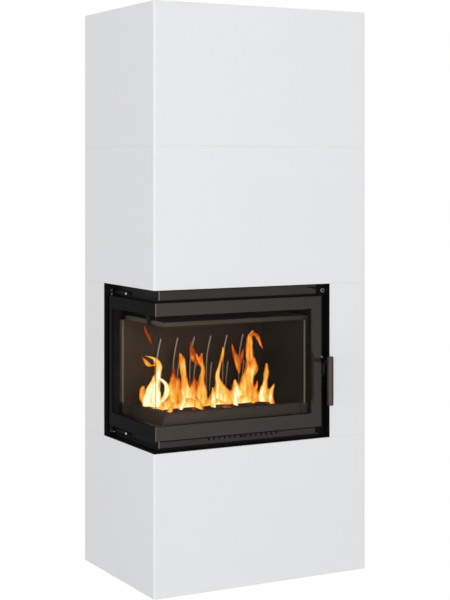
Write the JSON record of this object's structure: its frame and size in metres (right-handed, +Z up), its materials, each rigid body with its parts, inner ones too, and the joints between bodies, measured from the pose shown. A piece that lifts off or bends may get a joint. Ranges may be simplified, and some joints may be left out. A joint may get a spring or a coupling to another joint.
{
  "type": "corner fireplace",
  "caption": "Tall free-standing corner fireplace: white board surround, wood-burning insert with an L-shaped glass door that swings open, upright grip, air slider and ribbed firebox.",
  "frame": {"origin": "floor level, at the middle of the bounding box; the grip stands in front of the boards, so this lies a little in front of the middle of the surround", "axes": "+X to the right along the front, +Y back towards the wall, +Z up; the glass corner is at the front left"},
  "size_m": [0.928, 0.717, 2.2],
  "materials": {
    "white_board": "smooth matt white painted mineral board",
    "galvanised_frame": "galvanised steel sheet",
    "black_steel": "black heat-resistant paint",
    "cast_frame": "painted cast iron",
    "grey_steel": "satin anthracite paint",
    "door_glass": "fire-resistant glass with a printed dark border",
    "seal_fibre": "braided glass-fibre rope and tape",
    "bright_steel": "bright plated steel",
    "lever_steel": "black satin paint",
    "grip_metal": "dark anodised grip",
    "fire_board": "smoke-darkened fire-resistant board",
    "charred_wood": "charred split logs"
  },
  "bodies": {
    "fireplace": {"base_board_front": "white_board", "base_board_left": "white_board", "base_board_right": "white_board", "lintel_board_front": "white_board", "lintel_board_left": "white_board", "lintel_board_right": "white_board", "top_board_front": "white_board", "top_board_left": "white_board", "top_board_right": "white_board", "middle_board_front": "white_board", "middle_board_left": "white_board", "middle_board_right": "white_board", "post_rear_left": "galvanised_frame", "post_rear_right": "galvanised_frame", "post_front_right": "galvanised_frame", "post_front_left_lower": "galvanised_frame", "post_front_left_upper": "galvanised_frame", "lintel_angle": "galvanised_frame", "rear_rails": "galvanised_frame", "top_cover": "galvanised_frame", "sill_trim": "black_steel", "head_trim": "black_steel", "jamb_trim_right": "black_steel", "jamb_trim_rear": "black_steel", "firebox_body": "black_steel", "body_cover": "black_steel", "air_spigot": "black_steel", "smoke_hood": "black_steel", "flue_collar": "black_steel", "top_band": "grey_steel", "lower_panel_left": "grey_steel", "lower_panel_middle": "grey_steel", "lower_panel_right": "grey_steel", "latch_stile": "black_steel", "stile_bolt": "bright_steel", "band_clip": "black_steel", "hinge_arms": "black_steel", "hinge_pins": "bright_steel", "hinge_screws": "bright_steel", "back_lining": "fire_board", "corner_lining": "fire_board", "right_lining": "fire_board", "front_lip": "fire_board", "side_lip": "fire_board", "hearth_slab": "fire_board", "lower_baffle": "fire_board", "upper_baffle": "black_steel", "baffle_hanger": "black_steel", "logs": "charred_wood", "stand_legs": "black_steel", "stand_feet": "black_steel"},
    "door": {"door_frame": "cast_frame", "front_glass": "door_glass", "side_glass": "door_glass", "glass_tape": "seal_fibre", "door_seal": "seal_fibre", "latch_bracket": "black_steel"},
    "handle": {"handle_lever": "lever_steel", "handle_grip": "grip_metal"},
    "air_control": {"air_slide": "lever_steel"}
  },
  "joints": [
    {"name": "door_hinge", "type": "hinge", "parent": "fireplace", "child": "door", "pos_m": [-0.438, 0.1505, 0.8308], "axis": [0, 0, -1], "range_deg": [0, 90]},
    {"name": "handle_turn", "type": "hinge", "parent": "door", "child": "handle", "pos_m": [0.281, -0.2645, 0.831], "axis": [0, 0, 1], "range_deg": [0, 30]},
    {"name": "air_slide_travel", "type": "slide", "parent": "fireplace", "child": "air_control", "axis": [1, 0, 0], "range_m": [-0.13, 0.155]}
  ]
}
